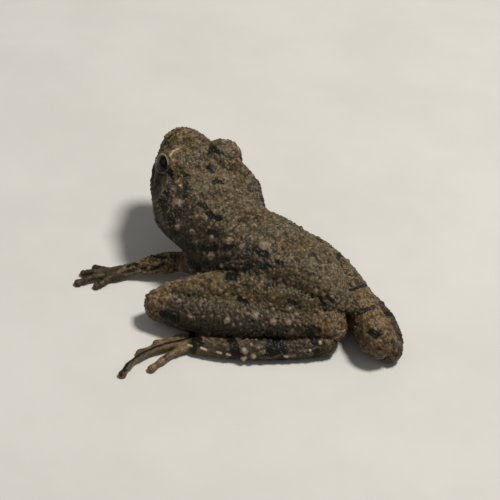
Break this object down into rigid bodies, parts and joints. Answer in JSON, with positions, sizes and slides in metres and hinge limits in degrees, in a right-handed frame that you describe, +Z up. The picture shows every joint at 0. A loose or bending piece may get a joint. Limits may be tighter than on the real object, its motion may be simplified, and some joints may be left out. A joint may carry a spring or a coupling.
{
  "type": "sitting cricket frog",
  "caption": "Life-size Blanchard's cricket frog sitting still with its head raised, hind legs folded and one hand reaching forward.",
  "frame": {"origin": "on the floor under the middle of the animal's bounding box", "axes": "+Z up, the trunk faces -Y, the animal's left side is +X, the head is turned about 20 degrees to its right"},
  "size_m": [0.0266, 0.0298, 0.01],
  "materials": {
    "skin_head": "moist, granular",
    "skin_jaw": "moist, smooth",
    "skin_trunk": "moist, warty",
    "skin_arm": "moist, granular",
    "skin_hand": "moist, smooth",
    "skin_thigh": "moist, warty",
    "skin_shank": "moist, warty",
    "skin_tarsus": "moist, granular",
    "skin_foot": "moist, smooth",
    "eye": "wet, glossy"
  },
  "bodies": {
    "root": {"head": "skin_head", "lower_jaw": "skin_jaw", "trunk": "skin_trunk", "eye_left": "eye", "eye_right": "eye", "upper_arm_left": "skin_arm", "upper_arm_right": "skin_arm", "forearm_left": "skin_arm", "forearm_right": "skin_arm", "hand_left": "skin_hand", "hand_right": "skin_hand", "thigh_left": "skin_thigh", "thigh_right": "skin_thigh", "shank_left": "skin_shank", "shank_right": "skin_shank", "tarsus_left": "skin_tarsus", "tarsus_right": "skin_tarsus", "foot_left": "skin_foot", "foot_right": "skin_foot"}
  },
  "joints": []
}
